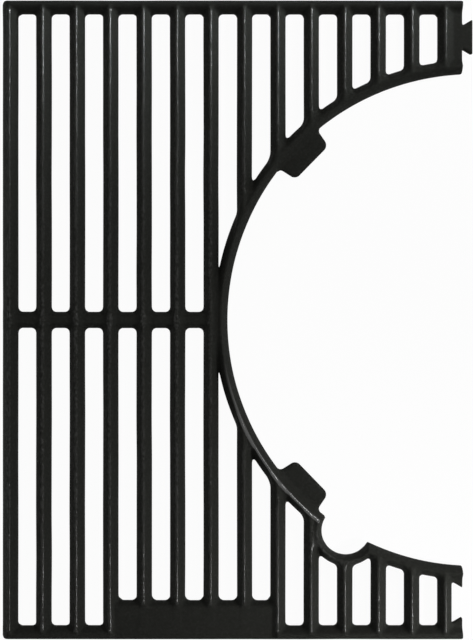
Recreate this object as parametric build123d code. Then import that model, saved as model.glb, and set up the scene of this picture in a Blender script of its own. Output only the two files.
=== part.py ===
"""One half of a two-part cast-iron grill grate with a round bay, as a single casting.

The half lies flat on z = 0 with its bars along Y. Its joint face is on +X, where the second half, the
same casting turned by 180 degrees, hooks on with a dovetail. All lengths are in millimetres.
"""
from build123d import *
import math
import os

# Plan: bars, rails and slots, measured at the parting line
DEPTH = 420.0              # along the bars, front rail to back rail
BAR_COUNT = 14
BAR_PITCH = 22.0
BAR_WIDTH = 10.0
RAIL_WIDTH = 8.7           # front and back rails
CROSSBAR_WIDTH = 10.7      # crossbar halfway along the bars
SLOT_RADIUS = 2.6          # casting radius in the slot corners
CREST_RADIUS = 4.0         # the same corners at the crests
CORNER_RADIUS = 4.0        # outer corners of the left bar
JOINT_RADIUS = 1.0         # outer corners at the joint face

# Round bay for a loose insert, shared by the two halves
RING_RADIUS = 162.0        # inner edge of the ring
RING_WIDTH = 8.9
RING_OFFSET = 7.9          # ring centre beyond the joint face
TAB_ANGLE = 44.2           # support tabs, either side of the bay's middle, from the ring centre
TAB_REACH = 13.5
TAB_ROOT = 36.0
TAB_TIP = 30.5
TAB_RADIUS = 3.6
TAB_FILLET = 2.8
TAB_THICKNESS = 4.0
NOTCH_ANGLE = 58.7         # finger notch in the ring, towards the front
NOTCH_RADIUS = 16.0
NOTCH_WIDTH = 7.2          # band round the notch
NOTCH_STEEPNESS = 0.75     # run of its flanks, as a share of the bars'
CUSP_FLAT = 0.7            # blunting where the notch breaks into the ring

# Plain panel in the front rail
PLATE_FIRST_BAR = 4
PLATE_LAST_BAR = 9
PLATE_DEPTH = 25.3         # slot ends above the panel, from the front edge
PLATE_TOP = 9.7

# Joint with the second half
JOINT_OFFSET = 185.8       # dovetail centres either side of the middle
WEB_TOP = 6.5              # flat web between the last bar and the joint face
TENON_LENGTH = 6.8
TENON_NECK = 15.0
TENON_END = 23.2
SOCKET_DEPTH = 7.1
SOCKET_MOUTH = 19.6
SOCKET_FLOOR = 28.0
DOVETAIL_RADIUS = 0.9

# Section: upright sides up to the parting line, then straight flanks to a narrow crest
HEIGHT = 12.0
PARTING = 5.0
FLANK_RUN = 4.3            # inward travel of the flank up to the crest
RAIL_FLANK_RUN = 2.4       # the rails' outer flanks are steeper
CROSSBAR_LAND = 8.3        # eaves of the crossbar, below the bars' crests
CROSSBAR_TOP = 9.3
VALLEY_FLOOR = 9.7         # groove where the ring closes on the bar beside it
VALLEY_LENGTH = 84.0
VALLEY_FILLET = 0.9        # metal left at the foot of the flanks beside it
VALLEY_TAPER = 38.0        # degrees from upright, its sides

WIDTH = BAR_WIDTH / 2 + (BAR_COUNT - 1) * BAR_PITCH + BAR_PITCH / 2
LEFT = -(WIDTH + TENON_LENGTH) / 2
JOINT = LEFT + WIDTH
BACK = DEPTH / 2
BAR_X = [LEFT + BAR_WIDTH / 2 + i * BAR_PITCH for i in range(BAR_COUNT)]
SLOT_WIDTH = BAR_PITCH - BAR_WIDTH
RING_X = JOINT + RING_OFFSET
NOTCH_X = RING_X - RING_RADIUS * math.cos(math.radians(NOTCH_ANGLE))
NOTCH_Y = -RING_RADIUS * math.sin(math.radians(NOTCH_ANGLE))
SLOPE = FLANK_RUN / (HEIGHT - PARTING)
FLANK_TAPER = math.degrees(math.atan(SLOPE))
MARGIN = 20.0
OVER = HEIGHT + 0.4        # tools end above the crests


def area(x0, x1, y0, y1):
    """Axis-aligned rectangle in plan."""
    return Pos((x0 + x1) / 2, (y0 + y1) / 2) * Rectangle(x1 - x0, y1 - y0)


def ring_disc(radius):
    return Pos(RING_X, 0) * Circle(radius)


def notch_disc(radius):
    return Pos(NOTCH_X, NOTCH_Y) * Circle(radius)


def flank_run(z):
    """How far a flank has moved in from the parting line at height z."""
    return (z - PARTING) * SLOPE


def round_corners(face, radius):
    """Round each corner of a plan face, with less radius at an acute corner or a short edge."""
    corners = []
    for vertex in face.vertices():
        point = vertex.center()
        rays, lengths = [], []
        for edge in face.edges():
            for at, sign in ((0, 1), (1, -1)):
                if (edge.position_at(at) - point).length < 1e-6:
                    rays.append(edge.tangent_at(at) * sign)
                    lengths.append(edge.length)
        if len(rays) == 2:
            half = math.radians(rays[0].get_angle(rays[1]) / 2)
            room = min(0.35 * SLOT_WIDTH, 0.45 * min(lengths)) * math.tan(half)
            corners.append((point, min(radius, room)))
    sketch = Sketch() + face
    for point, size in corners:
        sketch = fillet(sketch.vertices().sort_by_distance(point)[0], size)
    return sketch.faces()[0]


def flare(face, z):
    """Space above a plan face at height z: it widens up the flanks, past the crests."""
    return extrude(face, amount=OVER - z, dir=(0, 0, 1), taper=-FLANK_TAPER)


def opening(face):
    """Through opening with the given plan face: upright up to the parting line and flared above."""
    level = Pos(0, 0, PARTING) * face
    return [flare(level, PARTING), extrude(level, amount=PARTING + 1, dir=(0, 0, -1))]


def slot_plans(index, run=0.0):
    """Plan faces of the slots between bar index and the next, with every side moved out by run."""
    plate = PLATE_FIRST_BAR - 1 <= index < PLATE_LAST_BAR - 1
    front = PLATE_DEPTH if plate else RAIL_WIDTH
    plan = area(BAR_X[index] + BAR_WIDTH / 2 - run, BAR_X[index + 1] - BAR_WIDTH / 2 + run,
                front - BACK - run, BACK - RAIL_WIDTH + run)
    plan -= ring_disc(RING_RADIUS + RING_WIDTH - run)
    plan -= notch_disc(NOTCH_RADIUS + NOTCH_WIDTH - NOTCH_STEEPNESS * run)
    return [face for face in plan.faces().sort_by(Axis.Y) if face.area > SLOT_WIDTH]


def edge_cut(run, length):
    """Everything above the outer flank of an edge along +X at y = 0, with the metal on its +Y side."""
    profile = Polyline(
        (-MARGIN, PARTING), (0, PARTING), (run, HEIGHT), (run, HEIGHT + 1),
        (-MARGIN, HEIGHT + 1), close=True)
    section = Plane.YZ * make_face(profile)
    return extrude(section, amount=length / 2, both=True)


def slots():
    """The slots between the bars: upright to the parting line, then out to the crests."""
    tools = []
    for index in range(BAR_COUNT - 1):
        feet, rims = slot_plans(index), slot_plans(index, flank_run(OVER))
        for number, foot in enumerate(feet):
            plan = Pos(0, 0, PARTING) * round_corners(foot, SLOT_RADIUS)
            if [len(face.edges()) for face in feet] == [len(face.edges()) for face in rims]:
                rim = Pos(0, 0, OVER) * round_corners(rims[number], CREST_RADIUS)
                tools.append(loft([plan, rim], ruled=True))
            else:
                tools.append(flare(plan, PARTING))
            tools.append(extrude(plan, amount=PARTING + 1, dir=(0, 0, -1)))
    return tools


def valley():
    """The groove where the ring closes on the bar beside it, sunk between their flanks."""
    edge = max(x for x in BAR_X if x < RING_X - RING_RADIUS - RING_WIDTH) + BAR_WIDTH / 2
    inset = VALLEY_FILLET - flank_run(VALLEY_FLOOR)
    plan = area(edge + inset, edge + BAR_WIDTH, -VALLEY_LENGTH / 2, VALLEY_LENGTH / 2)
    plan -= ring_disc(RING_RADIUS + RING_WIDTH + inset)
    return extrude(Pos(0, 0, VALLEY_FLOOR) * plan.faces()[0], amount=OVER - VALLEY_FLOOR, dir=(0, 0, 1),
                   taper=-VALLEY_TAPER)


def crossbar():
    """Low crossbar from the left bar to the bar beside the ring, with a shallow roof."""
    half, land = CROSSBAR_WIDTH / 2, CROSSBAR_WIDTH / 2 - flank_run(CROSSBAR_LAND)
    profile = Polyline((-half, 0), (-half, PARTING), (-land, CROSSBAR_LAND), (0, CROSSBAR_TOP),
                       (land, CROSSBAR_LAND), (half, PARTING), (half, 0), close=True)
    last = max(x for x in BAR_X if x < RING_X - RING_RADIUS - RING_WIDTH)
    return Pos(BAR_X[0], 0) * extrude(Plane.YZ * make_face(profile), amount=last - BAR_X[0])


def round_bay():
    """The bay inside the ring and the finger notch that breaks into it, with blunted cusps between."""
    bay = ring_disc(RING_RADIUS) & area(LEFT, JOINT + MARGIN, -DEPTH, DEPTH)
    bore = Cylinder(NOTCH_RADIUS, PARTING + 1, align=(Align.CENTER, Align.CENTER, Align.MAX))
    funnel = Cone(NOTCH_RADIUS, NOTCH_RADIUS + NOTCH_STEEPNESS * flank_run(OVER), OVER - PARTING,
                  align=(Align.CENTER, Align.CENTER, Align.MIN))
    tools = opening(bay.faces()[0])
    tools += [Pos(NOTCH_X, NOTCH_Y, PARTING) * Rot(0, 0, NOTCH_ANGLE) * tool for tool in (bore, funnel)]
    ring, notch = Vector(RING_X, 0), Vector(NOTCH_X, NOTCH_Y)
    along = (notch - ring).normalized()
    swing = 2 * math.degrees(math.asin(NOTCH_RADIUS / (2 * RING_RADIUS)))
    for turn in (swing, -swing):
        cusp = ring + along.rotate(Axis.Z, turn) * RING_RADIUS
        into = ((cusp - ring).normalized() + (cusp - notch).normalized()).normalized()
        block = Box(4 * CUSP_FLAT, 8 * CUSP_FLAT, 3 * HEIGHT,
                    align=(Align.MAX, Align.CENTER, Align.CENTER))
        tools.append(Plane(origin=cusp + into * CUSP_FLAT, x_dir=into, z_dir=(0, 0, 1)) * block)
    return tools


def tab_plan(side):
    """One support tab in plan, on a short strip inside the ring so that its root is filleted."""
    angle = math.radians(TAB_ANGLE)
    frame = Plane(origin=(RING_X, 0, 0), x_dir=(-math.cos(angle), side * math.sin(angle), 0))
    wall = RING_RADIUS + 0.6
    tip = RING_RADIUS - TAB_REACH
    outline = Polyline((wall + 1, TAB_ROOT / 2), (tip, TAB_TIP / 2), (tip, -TAB_TIP / 2),
                       (wall + 1, -TAB_ROOT / 2), close=True)
    reach = TAB_ROOT / 2 + 1.5 * TAB_FILLET
    strip = ring_disc(wall + RING_WIDTH / 2) - ring_disc(wall)
    plan = (strip & (frame * area(tip, wall + RING_WIDTH, -reach, reach))) + frame * make_face(outline)
    corners = []
    for vertex in plan.vertices():
        local = frame.to_local_coords(vertex.center())
        if abs(local.X - tip) < 1e-3:
            corners.append((vertex.center(), TAB_RADIUS))
        elif abs(math.hypot(local.X, local.Y) - wall) < 1e-3 and abs(local.Y) < reach - 0.5 * TAB_FILLET:
            corners.append((vertex.center(), TAB_FILLET))
    for point, radius in corners:
        plan = fillet(plan.vertices().sort_by_distance(point)[0], radius)
    return plan


def dovetail(x_root, x_end, y, root, end):
    """Dovetail in plan, centred on y, widening from root to end, with rounded end corners."""
    outline = Polyline((x_root, y - root / 2), (x_end, y - end / 2), (x_end, y + end / 2),
                       (x_root, y + root / 2), close=True)
    plan = Sketch() + make_face(outline)
    corners = [v for v in plan.vertices() if abs(v.X - x_end) < 1e-6]
    return fillet(corners, DOVETAIL_RADIUS)


def grate():
    plan = area(LEFT, JOINT, -BACK, BACK)
    plan = fillet(plan.vertices().group_by(Axis.X)[0], CORNER_RADIUS)
    plan = fillet(plan.vertices().group_by(Axis.X)[-1], JOINT_RADIUS)
    body = extrude(plan, amount=HEIGHT)

    span = WIDTH + DEPTH
    body -= Pos(0, -BACK) * edge_cut(RAIL_FLANK_RUN, span)
    body -= Pos(0, BACK) * Rot(0, 0, 180) * edge_cut(RAIL_FLANK_RUN, span)
    body -= Pos(LEFT, 0) * Rot(0, 0, -90) * edge_cut(FLANK_RUN, span)

    # flat web on the joint side of the last bar, either side of the ring
    web = flank_run(WEB_TOP)
    beside = area(BAR_X[-1] + BAR_WIDTH / 2 - web, JOINT + MARGIN, -BACK - MARGIN, BACK + MARGIN)
    for face in (beside - ring_disc(RING_RADIUS + RING_WIDTH - web)).faces():
        body -= flare(Pos(0, 0, WEB_TOP) * round_corners(face, SLOT_RADIUS + web), WEB_TOP)

    # plain panel, open to the front
    sink = flank_run(PLATE_TOP)
    left = BAR_X[PLATE_FIRST_BAR - 1] + BAR_WIDTH / 2 - sink
    right = BAR_X[PLATE_LAST_BAR - 1] - BAR_WIDTH / 2 + sink
    panel = area(left, right, -BACK - MARGIN, PLATE_DEPTH - BACK - sink + 0.5)
    body -= flare(Pos(0, 0, PLATE_TOP) * panel.faces()[0], PLATE_TOP)

    body -= slots()
    body -= valley()
    for tool in round_bay():
        body -= tool

    body += crossbar()
    for side in (1, -1):
        body += extrude(tab_plan(side), amount=TAB_THICKNESS)
    tenon = dovetail(JOINT - 1.0, JOINT + TENON_LENGTH, JOINT_OFFSET, TENON_NECK, TENON_END)
    body += extrude(tenon, amount=WEB_TOP)
    socket = dovetail(JOINT, JOINT - SOCKET_DEPTH, -JOINT_OFFSET, SOCKET_MOUTH, SOCKET_FLOOR)
    half = SOCKET_MOUTH / 2
    socket += area(JOINT - 0.01, JOINT + 1, -JOINT_OFFSET - half, -JOINT_OFFSET + half)
    body -= extrude(socket, amount=HEIGHT + 1)
    return body


casting = grate().solid()
casting.label = "grate_casting"
print(casting.label, casting.is_valid, round(casting.volume / 1000, 1), "cm3", casting.bounding_box().size)
os.makedirs("parts", exist_ok=True)
export_step(casting, "parts/grate_casting.step")
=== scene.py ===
"""One half of a modular grill grate: its cast surface, black enamel finish and a plain white studio.

The casting is worked out in millimetres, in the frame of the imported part, and put into Blender in metres.
"""

import bpy
import numpy as np
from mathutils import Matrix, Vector
from mathutils.geometry import delaunay_2d_cdt


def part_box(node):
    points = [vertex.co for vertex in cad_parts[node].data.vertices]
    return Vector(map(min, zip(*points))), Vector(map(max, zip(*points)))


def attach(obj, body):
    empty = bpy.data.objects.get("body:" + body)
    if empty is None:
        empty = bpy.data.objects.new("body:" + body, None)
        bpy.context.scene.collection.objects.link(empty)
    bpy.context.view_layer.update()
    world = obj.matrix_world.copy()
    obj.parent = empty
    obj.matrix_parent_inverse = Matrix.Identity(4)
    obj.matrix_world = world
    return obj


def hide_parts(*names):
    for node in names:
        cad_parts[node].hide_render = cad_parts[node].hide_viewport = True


bl_info = {
    "name": "Grill grate half",
    "version": (1, 0, 0),
    "blender": (4, 5, 0),
    "location": "View3D > Sidebar > Grate",
    "description": "Cast surface, enamel finish and studio stage for one half of a modular grill grate",
    "category": "Object",
}

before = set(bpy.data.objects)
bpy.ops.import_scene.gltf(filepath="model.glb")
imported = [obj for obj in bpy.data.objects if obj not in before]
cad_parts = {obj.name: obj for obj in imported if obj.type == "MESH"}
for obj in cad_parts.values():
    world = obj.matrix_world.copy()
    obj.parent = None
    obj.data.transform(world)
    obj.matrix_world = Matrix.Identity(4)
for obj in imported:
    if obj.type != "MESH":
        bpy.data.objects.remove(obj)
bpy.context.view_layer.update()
NODE = "grate_casting"
MM = 0.001

# Plan of the casting in millimetres
BAR_COUNT, BAR_PITCH, BAR_WIDTH = 14, 22.0, 10.0
RAIL_WIDTH, CROSSBAR_WIDTH = 8.7, 10.7
SLOT_RADIUS, CROSSBAR_SLOT_RADIUS, PLATE_SLOT_RADIUS, TIP_RADIUS = 2.8, 3.2, 3.6, 0.9
CORNER_RADIUS, JOINT_RADIUS = 4.0, 1.0
RING_RADIUS, RING_WIDTH, RING_OFFSET = 162.0, 8.9, 7.9
TAB_ANGLE, TAB_REACH, TAB_ROOT, TAB_TIP = 44.2, 13.5, 36.0, 30.5
TAB_RADIUS, TAB_FILLET, TAB_TOP = 3.6, 2.8, 4.0
NOTCH_ANGLE, NOTCH_RADIUS, NOTCH_WIDTH, NOTCH_RUN, CUSP_RADIUS = 58.7, 16.0, 7.2, 3.2, 0.9
PLATE_FIRST_BAR, PLATE_LAST_BAR, PLATE_DEPTH, PLATE_TOP = 4, 9, 25.3, 9.7
JOINT_OFFSET, WEB_TOP = 185.8, 6.5
TENON_LENGTH, TENON_NECK, TENON_END, TENON_ROOT = 6.8, 15.0, 23.2, 2.0
SOCKET_DEPTH, SOCKET_MOUTH, SOCKET_FLOOR = 7.1, 19.6, 28.0
TENON_RADIUS, NECK_RADIUS, SOCKET_RADIUS, MOUTH_RADIUS, OUTLINE_RADIUS = 0.9, 1.4, 1.7, 0.7, 0.8

# Section: upright sides, then flanks from the parting line to a rounded crest
HEIGHT, PARTING, FLANK_RUN, RAIL_FLANK_RUN = 12.0, 5.0, 4.3, 1.8
CREST_SHIFT, CROSSBAR_TOP, VALLEY_TOP, LOWEST_RIM = 0.55, 9.2, 10.8, 2.0
PANEL_FILLET, PANEL_EDGE, TOP_EDGE = 2.4, 0.8, 0.5
RISE = HEIGHT - PARTING
SLOPE = RISE / FLANK_RUN

(LEFT, FRONT, _), (RIGHT, BACK, _) = (np.array(corner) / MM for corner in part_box(NODE))
JOINT = RIGHT - TENON_LENGTH
BARS = LEFT + BAR_WIDTH / 2 + BAR_PITCH * np.arange(BAR_COUNT)
BAYS = BARS[:-1] + BAR_PITCH / 2
RING_X = JOINT + RING_OFFSET
NOTCH_X = RING_X - RING_RADIUS * np.cos(np.radians(NOTCH_ANGLE))
NOTCH_Y = -RING_RADIUS * np.sin(np.radians(NOTCH_ANGLE))
RING_BAR = int(np.searchsorted(BARS, RING_X - RING_RADIUS - RING_WIDTH)) - 1
NOWHERE = -50.0
NOISE_VALUES = 997


def linear(code):
    """Scene-linear colour of an sRGB hex value."""
    value = np.array([int(code[i:i + 2], 16) for i in (1, 3, 5)]) / 255
    return tuple(np.where(value <= 0.04045, value / 12.92, ((value + 0.055) / 1.055) ** 2.4)) + (1.0,)


class GRATE_PG_casting(bpy.types.PropertyGroup):
    crest_round: bpy.props.FloatProperty(
        name="Crest rounding", description="Height over which a flank turns over into its crest",
        default=1.6 * MM, min=0.1 * MM, unit="LENGTH")
    fillet: bpy.props.FloatProperty(
        name="Casting fillet", description="Height of the fillet where two ridges run into each other",
        default=2.6 * MM, min=0.1 * MM, unit="LENGTH")
    web_fillet: bpy.props.FloatProperty(
        name="Web fillet", description="Height of the sweep from the last bar down to the joint web",
        default=3.0 * MM, min=0.1 * MM, unit="LENGTH")
    edge_round: bpy.props.FloatProperty(
        name="Edge rounding", description="Radius worn on the edges of the openings",
        default=0.4 * MM, min=0.05 * MM, unit="LENGTH")
    unevenness: bpy.props.FloatProperty(
        name="Unevenness", description="Depth of the slow waves that a sand mould leaves",
        default=0.09 * MM, min=0.0, unit="LENGTH")
    grid: bpy.props.FloatProperty(
        name="Grid", description="Spacing of the surface points along the bars",
        default=1.45 * MM, min=0.6 * MM, unit="LENGTH")
    enamel: bpy.props.FloatVectorProperty(
        name="Enamel", description="Colour of the baked black enamel", subtype="COLOR", size=4,
        min=0.0, max=1.0, default=linear("#1d1d1b"))
    enamel_light: bpy.props.FloatVectorProperty(
        name="Thin enamel", description="Colour where the enamel lies thin on the grains", subtype="COLOR",
        size=4, min=0.0, max=1.0, default=linear("#292a27"))


class GRATE_PG_stage(bpy.types.PropertyGroup):
    camera_place: bpy.props.FloatVectorProperty(
        name="Camera place", description="Where the camera hangs, looking straight down", size=3,
        default=(-0.66 * MM, -0.1 * MM, 1.25), subtype="TRANSLATION", unit="LENGTH")
    view_height: bpy.props.FloatProperty(
        name="View height", description="Length on the casting that fills the picture from top to bottom",
        default=0.4207, unit="LENGTH")
    key_lamp: bpy.props.FloatProperty(
        name="Key lamp", description="Power of the soft box high on the joint side",
        default=2.2, unit="POWER")
    front_lamp: bpy.props.FloatProperty(
        name="Front lamp", description="Power of the soft box beside the front rail",
        default=0.18, unit="POWER")
    side_lamp: bpy.props.FloatProperty(
        name="Side lamp", description="Power of the soft box on the joint side",
        default=0.43, unit="POWER")
    floor: bpy.props.FloatVectorProperty(
        name="Floor", description="Colour of the paper floor", subtype="COLOR", size=4, min=0.0, max=1.0,
        default=linear("#d4d4d4"))


def both(a, b, radius):
    """Inside distance of what lies in both of two shapes, given theirs: the smaller one, with the convex
    corner rounded by a circle of the radius."""
    corner = np.hypot(np.maximum(radius - a, 0), np.maximum(radius - b, 0))
    return np.maximum(np.minimum(a, b), radius) - corner


def either(a, b, radius):
    """Inside distance of what lies in either of two shapes: the larger one, with a fillet of the radius in
    the corner between them."""
    corner = np.hypot(np.maximum(a + radius, 0), np.maximum(b + radius, 0))
    return np.minimum(np.maximum(a, b), -radius) + corner


def fuse(a, b, depth):
    """Higher of two heights, raised by a parabola within depth of where they cross."""
    return np.maximum(a, b) + np.maximum(depth - np.abs(a - b), 0) ** 2 / (4 * depth)


def trim(a, b, depth):
    """Lower of two heights, rounded off within depth of where they cross."""
    return -fuse(-a, -b, depth)


def nearest(lines, x):
    """Index of the nearest of some evenly spaced lines."""
    return np.clip(np.rint((x - lines[0]) / BAR_PITCH), 0, len(lines) - 1).astype(int)


def waves(x, y, size, seed):
    """Smooth noise from -1 to 1: random values on a square lattice of the given size, joined by cubic
    steps."""
    lattice = np.random.default_rng(seed).uniform(-1, 1, (NOISE_VALUES,))
    u, v = x / size, y / size
    i, j = np.floor(u).astype(int), np.floor(v).astype(int)
    f, g = u - i, v - j
    f, g = f * f * (3 - 2 * f), g * g * (3 - 2 * g)

    def at(di, dj):
        return lattice[((i + di) * 131 + (j + dj) * 57) % NOISE_VALUES]

    low = at(0, 0) * (1 - f) + at(1, 0) * f
    high = at(0, 1) * (1 - f) + at(1, 1) * f
    return low * (1 - g) + high * g


def tab_distance(x, y):
    """Inside distance of the two support tabs: a tapered strip along the ring's radius at TAB_ANGLE either
    side, folded onto one by |y|, with its free corners rounded."""
    angle = np.radians(TAB_ANGLE)
    along = (RING_X - x) * np.cos(angle) + np.abs(y) * np.sin(angle)
    across = np.abs(-(RING_X - x) * np.sin(angle) + np.abs(y) * np.cos(angle))
    tip = RING_RADIUS - TAB_REACH
    taper = (TAB_ROOT - TAB_TIP) / 2 / TAB_REACH
    side = (TAB_TIP / 2 + taper * (along - tip) - across) / np.hypot(1, taper)
    tab = both(along - tip, side, TAB_RADIUS)
    return np.minimum(tab, RING_RADIUS + RING_WIDTH / 2 - np.hypot(x - RING_X, y))


def dovetail_distance(depth, across, root, end, length, radius):
    """Inside distance of a dovetail that widens from root to end over its length, with rounded corners at
    its end."""
    taper = (end - root) / 2 / length
    side = (root / 2 + taper * depth - np.abs(across)) / np.hypot(1, taper)
    return both(length - depth, side, radius)


def metal_distance(x, y):
    """Distance in plan from a point in the metal to its nearest edge, and negative in an opening.

    A slot is what lies between two bars, two rails, the crossbar, the ring and the notch's band at once. The
    bay and the notch are discs. The outline is a rectangle with a dovetail added and one taken away."""
    bay = nearest(BAYS, x)
    ring, notch = np.hypot(x - RING_X, y), np.hypot(x - NOTCH_X, y - NOTCH_Y)
    plate = (bay >= PLATE_FIRST_BAR - 1) & (bay < PLATE_LAST_BAR - 1)
    front = FRONT + np.where(plate, PLATE_DEPTH, RAIL_WIDTH)
    end = np.maximum(front - y, y - BACK + RAIL_WIDTH)
    end = np.maximum(end, np.where(bay < RING_BAR, CROSSBAR_WIDTH / 2 - np.abs(y), NOWHERE))
    end = np.maximum(end, RING_RADIUS + RING_WIDTH - ring)
    end = np.maximum(end, NOTCH_RADIUS + NOTCH_WIDTH - notch)
    radius = np.where(plate & (y < FRONT + 2 * PLATE_DEPTH), PLATE_SLOT_RADIUS, SLOT_RADIUS)
    radius = np.where((bay < RING_BAR) & (np.abs(y) < 3 * CROSSBAR_WIDTH), CROSSBAR_SLOT_RADIUS, radius)
    radius = np.where((bay == RING_BAR) & (np.abs(y) < 0.5 * BACK), TIP_RADIUS, radius)
    metal = either(np.abs(x - BAYS[bay]) - (BAR_PITCH - BAR_WIDTH) / 2, end, radius)
    metal = np.minimum(metal, both(ring - RING_RADIUS, notch - NOTCH_RADIUS, CUSP_RADIUS))
    metal = either(metal, tab_distance(x, y), TAB_FILLET)
    outline = both(both(x - LEFT, BACK - np.abs(y), CORNER_RADIUS), JOINT - x, JOINT_RADIUS)
    metal = both(metal, outline, OUTLINE_RADIUS)
    tenon = dovetail_distance(
        x - JOINT, y - JOINT_OFFSET, TENON_NECK, TENON_END, TENON_LENGTH, TENON_RADIUS)
    metal = either(metal, np.minimum(tenon, x - JOINT + TENON_ROOT), NECK_RADIUS)
    socket = dovetail_distance(
        JOINT - x, y + JOINT_OFFSET, SOCKET_MOUTH, SOCKET_FLOOR, SOCKET_DEPTH, SOCKET_RADIUS)
    return both(metal, -socket, MOUTH_RADIUS)


def casting_height(x, y, sizes):
    """Height of the top surface.

    Each bar, rail and ring is a ridge: it rises by SLOPE from its edge at the parting line and turns over
    into a crest at HEIGHT. The crest of a bar lies CREST_SHIFT off its middle. The ridges are fused with
    fillets, the valley between a bar and the ring is filled by the sum of their inside distances, and the
    flanks of the bay, the notch and the outer edges trim them all. The crossbar, the panel, the joint web
    and the tabs are lower levels."""
    crest, fillet = sizes.crest_round / MM, sizes.fillet / MM
    ring_crest, outer_crest = 0.6 * crest, 1.5 * crest
    ring, notch = np.hypot(x - RING_X, y), np.hypot(x - NOTCH_X, y - NOTCH_Y)
    notch_slope = RISE / NOTCH_RUN

    def ridge(inside, slope=SLOPE, top=HEIGHT, turn=crest):
        return trim(PARTING + slope * inside, top + 0 * inside, turn)

    aside = x - BARS[nearest(BARS, x)]
    left = PARTING + RISE / (FLANK_RUN - CREST_SHIFT) * (BAR_WIDTH / 2 + aside)
    right = PARTING + RISE / (FLANK_RUN + CREST_SHIFT) * (BAR_WIDTH / 2 - aside)
    bars = trim(np.minimum(left, right), HEIGHT + 0 * x, crest)
    rails = ridge(RAIL_WIDTH - (BACK - np.abs(y)))
    ring_band = ridge(RING_RADIUS + RING_WIDTH - ring, turn=ring_crest)
    notch_band = ridge(NOTCH_RADIUS + NOTCH_WIDTH - notch, notch_slope, turn=ring_crest)
    crossbar = ridge(CROSSBAR_WIDTH / 2 - np.abs(y), top=CROSSBAR_TOP)
    crossbar = np.where(x < BARS[RING_BAR], crossbar, NOWHERE)
    plate_left, plate_right = BARS[PLATE_FIRST_BAR - 1], BARS[PLATE_LAST_BAR - 1]
    plate = ridge(PLATE_DEPTH - (y - FRONT), top=PLATE_TOP)
    plate = np.where((x > plate_left) & (x < plate_right), plate, NOWHERE)

    height = fuse(bars, rails, fillet)
    height = fuse(height, crossbar, 2 * fillet)
    height = fuse(height, plate, fillet)
    height = fuse(height, ring_band, fillet)
    height = fuse(height, notch_band, 2 * fillet)
    # metal run together where a bar merges with the ring or the notch's band, up to just below the crests
    bands = np.maximum(RING_RADIUS + RING_WIDTH - ring, NOTCH_RADIUS + NOTCH_WIDTH - notch)
    valley = ridge(BAR_WIDTH / 2 - np.abs(aside) + bands, 1.3 * SLOPE, VALLEY_TOP)
    height = fuse(height, np.where(x < BARS[-1], valley, NOWHERE), fillet)
    height = trim(height, HEIGHT + 0 * x, TOP_EDGE)

    # the panel's own level, below the crests of the bars that end in it
    sink = (PLATE_TOP - PARTING) / SLOPE
    inset = BAR_WIDTH / 2 - sink
    aside = np.maximum(plate_left + inset - x, x - plate_right + inset)
    aside = np.maximum(aside, (y - (FRONT + PLATE_DEPTH - sink)) / 2)
    level = fuse(PLATE_TOP + 0 * x, PLATE_TOP + SLOPE * aside, PANEL_FILLET)
    height = trim(height, level, PANEL_EDGE)

    web = np.where(x > BARS[-1], WEB_TOP, NOWHERE)
    height = fuse(height, web, sizes.web_fillet / MM)
    height = trim(height, PARTING + SLOPE * (ring - RING_RADIUS), ring_crest)
    height = trim(height, PARTING + notch_slope * (notch - NOTCH_RADIUS), ring_crest)
    outer = both((x - LEFT) / (FLANK_RUN - CREST_SHIFT), (BACK - np.abs(y)) / RAIL_FLANK_RUN, 0.8)
    height = trim(height, PARTING + RISE * outer, outer_crest)
    height = np.maximum(height, TAB_TOP)

    uneven = sizes.unevenness / MM
    return height + uneven * (waves(x, y, 9.0, 3) + 0.7 * waves(x, y, 3.1, 4))


def edge_drop(distance, radius):
    """How far a quarter round of the radius has dropped at a distance inside an edge."""
    short = np.clip(radius - distance, 0, radius)
    return radius - np.sqrt(radius ** 2 - short ** 2)


def filled(lines, step):
    """Sorted lines with each gap that is wider than step divided evenly."""
    lines = np.unique(np.round(lines, 4))
    parts = [np.linspace(a, b, int(np.ceil((b - a) / step)), endpoint=False) if b - a > step else [a]
             for a, b in zip(lines[:-1], lines[1:])]
    return np.concatenate(parts + [lines[-1:]])


def grid_lines(step):
    """Lines of the surface grid: across the bars at fixed places of their section, closer to each edge and
    crest, and along them closer at the rails, the panel and the crossbar."""
    section = np.array([0, 0.6, 1.2, 1.9, 2.7, 3.6, 4.4, 5.0])
    gap = np.array([0, 1.1, 2.2, 3.2, 4.1, 4.9, 5.5])
    section, gap = np.concatenate([-section, section]), np.concatenate([-gap, gap])
    end = np.array([0, 0.5, 1.1, 1.9])
    joint = np.concatenate([JOINT - end, JOINT + end, RIGHT - end])
    x = np.concatenate([(BARS[:, None] + section).ravel(), (BAYS[:, None] + gap).ravel(), joint])
    rail = np.array([0, 0.35, 0.8, 1.4, 2.1, 2.9, 3.7, 4.5, 5.4, 6.3, 7.2, 8.0, 8.7, 9.2, 9.8, 10.6, 11.5])
    middle = np.array([0, 0.9, 1.8, 2.7, 3.5, 4.2, 4.8, 5.35, 5.8, 6.4, 7.2])
    panel = PLATE_DEPTH + np.array([-5, -4, -3, -2, -1, 0, 0.5, 1.1, 1.9, 2.9])
    y = np.concatenate([FRONT + rail, BACK - rail, -middle, middle, FRONT + panel])
    return filled(x, 0.9), filled(y, step)


def kept_cells(x, y):
    """Which cells of the grid lie in the metal, with none that meet only at a corner."""
    cx, cy = np.meshgrid((x[1:] + x[:-1]) / 2, (y[1:] + y[:-1]) / 2)
    kept = metal_distance(cx, cy) > 0
    for _ in range(3):
        a, b, c, d = kept[:-1, :-1], kept[:-1, 1:], kept[1:, :-1], kept[1:, 1:]
        rising, falling = a & d & ~b & ~c, b & c & ~a & ~d
        kept[:-1, 1:] |= rising
        kept[:-1, :-1] |= falling
    return kept


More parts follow.
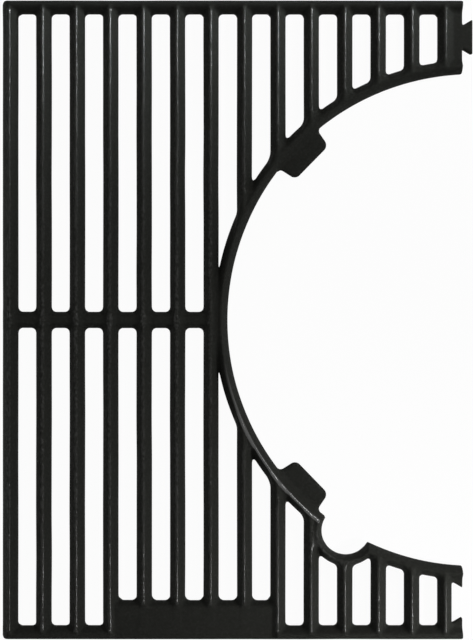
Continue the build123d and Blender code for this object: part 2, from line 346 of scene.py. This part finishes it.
def border_edges(kept, width):
    """Directed edges between a kept cell and a dropped one, with the kept cell on the left, as pairs of
    vertex indices on a grid of the given width."""
    index = np.arange((len(kept) + 1) * width).reshape(-1, width)
    wide = np.pad(kept, 1)
    above, below = wide[1:, 1:-1], wide[:-1, 1:-1]
    right, left = wide[1:-1, 1:], wide[1:-1, :-1]
    start, stop = index[:, :-1], index[:, 1:]
    foot, head = index[:-1, :], index[1:, :]
    pairs = [(start, stop, above & ~below), (stop, start, below & ~above),
             (head, foot, right & ~left), (foot, head, left & ~right)]
    return np.concatenate([np.stack([a[mask], b[mask]], 1) for a, b, mask in pairs])


def inward(x, y):
    """Unit direction in plan away from the nearest edge: the slope of the distance, by central
    differences."""
    step = 0.02
    gx = metal_distance(x + step, y) - metal_distance(x - step, y)
    gy = metal_distance(x, y + step) - metal_distance(x, y - step)
    size = np.maximum(np.hypot(gx, gy), 1e-9)
    return gx / size, gy / size


def casting_surface(sizes):
    """Vertices and faces of the whole casting.

    The top is the height function on a grid in x and y. Cells outside the metal are left out, and the points
    of the ragged border move along the slope of the distance until they lie on the true edge. Below each
    border point hang three more, down the upright side and round the lower edge, and the underside is a flat
    triangulation between the last ones."""
    x, y = grid_lines(sizes.grid / MM)
    kept = kept_cells(x, y)
    px, py = (part.ravel() for part in np.meshgrid(x, y))
    width = len(x)
    corner = np.arange(len(px)).reshape(len(y), width)
    quads = np.stack([corner[:-1, :-1], corner[:-1, 1:], corner[1:, 1:], corner[1:, :-1]], 2)[kept]
    edges = border_edges(kept, width)
    used, renumber = np.unique(quads, return_inverse=True)
    quads = renumber.reshape(quads.shape)
    edges = np.searchsorted(used, edges)
    px, py = px[used], py[used]

    rim = np.unique(edges)
    for _ in range(4):
        distance = metal_distance(px[rim], py[rim])
        nx, ny = inward(px[rim], py[rim])
        px[rim], py[rim] = px[rim] - distance * nx, py[rim] - distance * ny
    nx, ny = inward(px[rim], py[rim])

    edge = metal_distance(px, py)
    radius = sizes.edge_round / MM
    pz = casting_height(px, py, sizes) - edge_drop(np.maximum(edge, 0), radius)
    pz = np.clip(pz, LOWEST_RIM, HEIGHT)

    # rows of the side wall below the rim: how far in from the edge and how high
    rows = [(0.05, 0.7), (0.13, 0.2), (0.30, 0.0)]
    points = [np.stack([px, py, pz], 1)]
    points += [np.stack([px[rim] + inset * nx, py[rim] + inset * ny, np.full(len(rim), z)], 1)
               for inset, z in rows]
    order = np.searchsorted(rim, edges)
    ring_of = [edges] + [len(px) + number * len(rim) + order for number in range(len(rows))]
    walls = [np.stack([high[:, 1], high[:, 0], low[:, 0], low[:, 1]], 1)
             for high, low in zip(ring_of[:-1], ring_of[1:])]
    quads = np.concatenate([quads] + walls)

    sole = points[-1][:, :2]
    flat, _, faces, _, _, _ = delaunay_2d_cdt(sole.tolist(), order.tolist(), [], 0, 1e-7)
    if len(flat) != len(sole):
        raise RuntimeError("the underside's outline crosses itself: lower the edge inset")
    faces = np.array(faces)
    middle = sole[faces].mean(1)
    faces = faces[metal_distance(middle[:, 0], middle[:, 1]) > 0.0]
    triangles = faces[:, ::-1] + len(px) + (len(rows) - 1) * len(rim)

    # slow drift of the whole outline, such as a sand mould leaves
    points = np.concatenate(points)
    drift = 0.12
    points[:, 0] += drift * waves(points[:, 0], points[:, 1], 31.0, 11)
    points[:, 1] += drift * waves(points[:, 0], points[:, 1], 37.0, 12)
    points[:, 0] = np.clip(points[:, 0], LEFT, RIGHT)
    points[:, 1] = np.clip(points[:, 1], FRONT, BACK)
    return points * MM, quads, triangles


def closed_mesh(name, points, quads, triangles):
    """Smooth-shaded mesh from arrays of points, four-sided and three-sided faces."""
    mesh = bpy.data.meshes.new(name)
    mesh.vertices.add(len(points))
    mesh.vertices.foreach_set("co", points.astype(np.float32).ravel())
    loops = np.concatenate([quads.ravel(), triangles.ravel()]).astype(np.int32)
    mesh.loops.add(len(loops))
    mesh.loops.foreach_set("vertex_index", loops)
    starts = np.concatenate([4 * np.arange(len(quads)), 4 * len(quads) + 3 * np.arange(len(triangles))])
    mesh.polygons.add(len(starts))
    mesh.polygons.foreach_set("loop_start", starts.astype(np.int32))
    mesh.polygons.foreach_set("use_smooth", np.ones(len(starts), bool))
    mesh.update(calc_edges=True)
    if mesh.validate():
        raise RuntimeError(f"{name}: the mesh had faulty faces")
    return mesh


def add_node(tree, kind, inputs=(), **settings):
    """A node with its settings, and its inputs as values or as sockets to link from."""
    node = tree.nodes.new(kind)
    for key, value in settings.items():
        setattr(node, key, value)
    for key, value in dict(inputs).items():
        if isinstance(value, bpy.types.NodeSocket):
            tree.links.new(value, node.inputs[key])
        else:
            node.inputs[key].default_value = value
    return node


def new_material(name):
    """An empty node material and its tree."""
    material = bpy.data.materials.new(name)
    material.use_nodes = True
    material.node_tree.nodes.clear()
    return material, material.node_tree


def per_mm(size):
    """Noise scale on Object coordinates, in metres, for features of a size in millimetres."""
    return 1.0 / (size * MM)


def black_enamel_on_cast_iron(colours):
    """Matt black enamel baked on sand-cast iron: near black and matt, with the crests rubbed to half gloss,
    and the sand's grain showing as fine bright specks where a ridge catches the light."""
    material, tree = new_material("black_enamel_on_cast_iron")
    place = add_node(tree, "ShaderNodeTexCoord").outputs["Object"]
    # sand grain, really about 0.4 mm, drawn at 1.8 mm so that it shows in the picture
    grain = add_node(tree, "ShaderNodeTexNoise", {
        "Vector": place, "Scale": per_mm(1.8), "Detail": 3.0, "Roughness": 0.65})
    patches = add_node(tree, "ShaderNodeTexNoise", {
        "Vector": place, "Scale": per_mm(22.0), "Detail": 3.0, "Roughness": 0.55})
    tint = add_node(tree, "ShaderNodeMix", {
        "Factor": grain.outputs[0], "A": tuple(colours.enamel), "B": tuple(colours.enamel_light)},
        data_type="RGBA")
    # matt as cast on the flanks and rails, and rubbed to half gloss on the crests of the bars
    axes = add_node(tree, "ShaderNodeSeparateXYZ", {"Vector": place})
    aside = add_node(tree, "ShaderNodeMath", {0: axes.outputs["Y"]}, operation="ABSOLUTE")
    crest = add_node(tree, "ShaderNodeMapRange", {
        "Value": axes.outputs["Z"], "From Min": 10.4 * MM, "From Max": 11.4 * MM},
        interpolation_type="SMOOTHSTEP")
    spoke = add_node(tree, "ShaderNodeVectorMath", {
        0: place, 1: (1.0, 1.0, 0.0), 2: (-RING_X * MM, 0.0, 0.0)}, operation="MULTIPLY_ADD")
    reach = add_node(tree, "ShaderNodeVectorMath", {0: spoke.outputs[0]}, operation="LENGTH")
    rubbed, ring_edge = crest, RING_RADIUS + RING_WIDTH
    for value, start, stop in ((aside.outputs[0], 205.5, 203.0),
                               (reach.outputs["Value"], ring_edge, ring_edge + 5)):
        fade = add_node(tree, "ShaderNodeMapRange", {
            "Value": value, "From Min": start * MM, "From Max": stop * MM})
        rubbed = add_node(tree, "ShaderNodeMath", {
            0: rubbed.outputs[0], 1: fade.outputs[0]}, operation="MULTIPLY")
    matt = add_node(tree, "ShaderNodeMapRange", {
        "Value": patches.outputs[0], "From Min": 0.3, "From Max": 0.7, "To Min": 0.58, "To Max": 0.7})
    rough = add_node(tree, "ShaderNodeMix", {
        "Factor": rubbed.outputs[0], "A": matt.outputs[0], "B": 0.22})
    # rubbed grains stand proud, so a crest sparkles in single dots
    dots = add_node(tree, "ShaderNodeTexNoise", {
        "Vector": place, "Scale": per_mm(1.5), "Detail": 1.0, "Roughness": 0.5})
    proud = add_node(tree, "ShaderNodeMapRange", {
        "Value": dots.outputs[0], "From Min": 0.42, "From Max": 0.62, "To Min": 0.02, "To Max": 0.2})
    specks = add_node(tree, "ShaderNodeMapRange", {
        "Value": dots.outputs[0], "From Min": 0.5, "From Max": 0.7, "To Min": 0.02, "To Max": 0.06})
    shine = add_node(tree, "ShaderNodeMix", {
        "Factor": rubbed.outputs[0], "A": specks.outputs[0], "B": proud.outputs[0]})
    # the crest of the ring is worn smooth beside the notch, where the insert is lifted in and out
    off = add_node(tree, "ShaderNodeMath", {
        0: reach.outputs["Value"], 1: (RING_RADIUS + RING_WIDTH / 2) * MM}, operation="SUBTRACT")
    off = add_node(tree, "ShaderNodeMath", {0: off.outputs[0]}, operation="ABSOLUTE")
    near = add_node(tree, "ShaderNodeMapRange", {
        "Value": off.outputs[0], "From Min": 1.7 * MM, "From Max": 1.0 * MM})
    worn = add_node(tree, "ShaderNodeMath", {
        0: near.outputs[0], 1: crest.outputs[0]}, operation="MULTIPLY")
    for axis, start, stop in (("X", NOTCH_X - 4, NOTCH_X - 10), ("Y", -25.0, -75.0)):
        fade = add_node(tree, "ShaderNodeMapRange", {
            "Value": axes.outputs[axis], "From Min": start * MM, "From Max": stop * MM})
        worn = add_node(tree, "ShaderNodeMath", {
            0: worn.outputs[0], 1: fade.outputs[0]}, operation="MULTIPLY")
    rough = add_node(tree, "ShaderNodeMix", {
        "Factor": worn.outputs[0], "A": rough.outputs[0], "B": 0.2})
    shine = add_node(tree, "ShaderNodeMix", {
        "Factor": worn.outputs[0], "A": shine.outputs[0], "B": 0.8})
    relief = add_node(tree, "ShaderNodeMapRange", {
        "Value": worn.outputs[0], "To Min": 0.3, "To Max": 0.08})
    bump = add_node(tree, "ShaderNodeBump", {
        "Height": grain.outputs[0], "Strength": relief.outputs[0], "Distance": 0.2 * MM})
    shader = add_node(tree, "ShaderNodeBsdfPrincipled", {
        "Base Color": tint.outputs["Result"], "Roughness": rough.outputs[0],
        "Normal": bump.outputs["Normal"], "Specular IOR Level": shine.outputs[0]})
    add_node(tree, "ShaderNodeOutputMaterial", {"Surface": shader.outputs["BSDF"]})
    return material


def seen_directly(tree):
    """Socket that is 1 for what the camera sees, straight or in a reflection, and 0 for light on the
    object."""
    path = add_node(tree, "ShaderNodeLightPath")
    seen = add_node(tree, "ShaderNodeMath", {
        0: path.outputs["Is Camera Ray"], 1: path.outputs["Is Transmission Ray"]}, operation="MAXIMUM")
    return add_node(tree, "ShaderNodeMath", {
        0: seen.outputs[0], 1: path.outputs["Is Glossy Ray"]}, operation="MAXIMUM").outputs[0]


def white_paper(colours):
    """White paper floor: seen by the camera as plain white, with a little of its own shading left for the
    object's shadow."""
    material, tree = new_material("white_paper")
    paper = add_node(tree, "ShaderNodeBsdfDiffuse", {"Color": tuple(colours.floor)})
    white = add_node(tree, "ShaderNodeEmission", {"Color": (1, 1, 1, 1), "Strength": 1.0})
    share = add_node(tree, "ShaderNodeMath", {0: seen_directly(tree), 1: 0.96}, operation="MULTIPLY")
    mix = add_node(tree, "ShaderNodeMixShader", {
        "Fac": share.outputs[0], 1: paper.outputs["BSDF"], 2: white.outputs["Emission"]})
    add_node(tree, "ShaderNodeOutputMaterial", {"Surface": mix.outputs["Shader"]})
    return material


class GRATE_OT_casting(bpy.types.Operator):
    """Build the cast surface of the grate and give it its enamel"""
    bl_idname = "grate.casting"
    bl_label = "Grate casting"

    def execute(self, context):
        sizes = context.scene.grate_casting
        mesh = closed_mesh("grate_surface", *casting_surface(sizes))
        mesh.materials.append(black_enamel_on_cast_iron(sizes))
        piece = bpy.data.objects.new("grate_surface", mesh)
        context.scene.collection.objects.link(piece)
        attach(piece, "root")
        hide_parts(NODE)
        print("grate_surface", len(mesh.loops) - 2 * len(mesh.polygons), "triangles")
        return {"FINISHED"}


class GRATE_OT_stage(bpy.types.Operator):
    """Set up the white floor, the soft boxes and the camera straight above"""
    bl_idname = "grate.stage"
    bl_label = "Studio stage"

    def execute(self, context):
        scene, stage = context.scene, context.scene.grate_stage
        scene.view_settings.view_transform = "Standard"

        mesh = bpy.data.meshes.new("floor")
        half, drop = 12.0, -0.5 * MM
        corners = ((-half, -half), (half, -half), (half, half), (-half, half))
        mesh.from_pydata([(*corner, drop) for corner in corners], [], [(0, 1, 2, 3)])
        mesh.materials.append(white_paper(stage))
        floor = bpy.data.objects.new("floor", mesh)
        scene.collection.objects.link(floor)

        world = bpy.data.worlds.new("studio")
        world.use_nodes = True
        tree = world.node_tree
        tree.nodes.clear()
        # white tent that lights most from its left and right walls, less from the back, least from above
        axes = add_node(tree, "ShaderNodeSeparateXYZ", {
            "Vector": add_node(tree, "ShaderNodeTexCoord").outputs["Generated"]})
        wall = add_node(tree, "ShaderNodeMath", {
            0: axes.outputs["X"], 1: axes.outputs["X"]}, operation="MULTIPLY")
        back = add_node(tree, "ShaderNodeMath", {0: axes.outputs["Y"], 1: 0.0}, operation="MAXIMUM")
        wall = add_node(tree, "ShaderNodeMath", {
            0: back.outputs[0], 1: 0.2, 2: wall.outputs[0]}, operation="MULTIPLY_ADD")
        level = add_node(tree, "ShaderNodeMapRange", {
            "Value": wall.outputs[0], "To Min": 0.17, "To Max": 0.73})
        level = add_node(tree, "ShaderNodeMix", {
            "Factor": seen_directly(tree), "A": level.outputs[0], "B": 1.0})
        light = add_node(tree, "ShaderNodeBackground", {
            "Color": (1, 1, 1, 1), "Strength": level.outputs[0]})
        add_node(tree, "ShaderNodeOutputWorld", {"Surface": light.outputs["Background"]})
        scene.world = world

        # each square soft box: power, colour, place, point it is aimed at, width in metres, spread in degrees
        white, cool = (1.0, 1.0, 1.0), (0.92, 0.98, 1.0)
        boxes = {
            "key_box": (stage.key_lamp, white, (0.54, 0.34, 0.6), (0.0, 0.0, 0.0), 0.1, 180),
            "front_box": (stage.front_lamp, white, (0.45, -0.28, 0.3), (0.1, -0.2, 0.0), 0.06, 50),
            "side_box": (stage.side_lamp, cool, (1.15, 0.44, 0.45), (0.0, 0.32, 0.0), 0.12, 22),
        }
        for name, (power, colour, place, target, size, spread) in boxes.items():
            lamp = bpy.data.lights.new(name, "AREA")
            lamp.shape, lamp.size, lamp.energy = "SQUARE", size, power
            lamp.color, lamp.spread = colour, np.radians(spread)
            holder = bpy.data.objects.new(name, lamp)
            holder.location = place
            holder.rotation_euler = (Vector(target) - holder.location).to_track_quat("-Z", "Y").to_euler()
            scene.collection.objects.link(holder)

        camera = bpy.data.cameras.new("camera")
        camera.sensor_width = 36.0
        camera.lens = camera.sensor_width * (stage.camera_place[2] - PARTING * MM) / stage.view_height
        camera.clip_start, camera.clip_end = 0.05, 20.0
        holder = bpy.data.objects.new("camera", camera)
        holder.location = stage.camera_place
        scene.collection.objects.link(holder)
        scene.camera = holder
        return {"FINISHED"}


class GRATE_PT_panel(bpy.types.Panel):
    bl_idname = "GRATE_PT_panel"
    bl_label = "Grill grate"
    bl_space_type = "VIEW_3D"
    bl_region_type = "UI"
    bl_category = "Grate"

    def draw(self, context):
        for settings, operator in ((context.scene.grate_casting, GRATE_OT_casting),
                                   (context.scene.grate_stage, GRATE_OT_stage)):
            column = self.layout.column(align=True)
            for name in settings.__annotations__:
                column.prop(settings, name)
            column.operator(operator.bl_idname)


CLASSES = (GRATE_PG_casting, GRATE_PG_stage, GRATE_OT_casting, GRATE_OT_stage, GRATE_PT_panel)


def register():
    for cls in CLASSES:
        bpy.utils.register_class(cls)
    bpy.types.Scene.grate_casting = bpy.props.PointerProperty(type=GRATE_PG_casting)
    bpy.types.Scene.grate_stage = bpy.props.PointerProperty(type=GRATE_PG_stage)


def unregister():
    del bpy.types.Scene.grate_stage
    del bpy.types.Scene.grate_casting
    for cls in reversed(CLASSES):
        bpy.utils.unregister_class(cls)


def main():
    register()
    bpy.ops.grate.casting()
    bpy.ops.grate.stage()


if __name__ == "__main__":
    main()
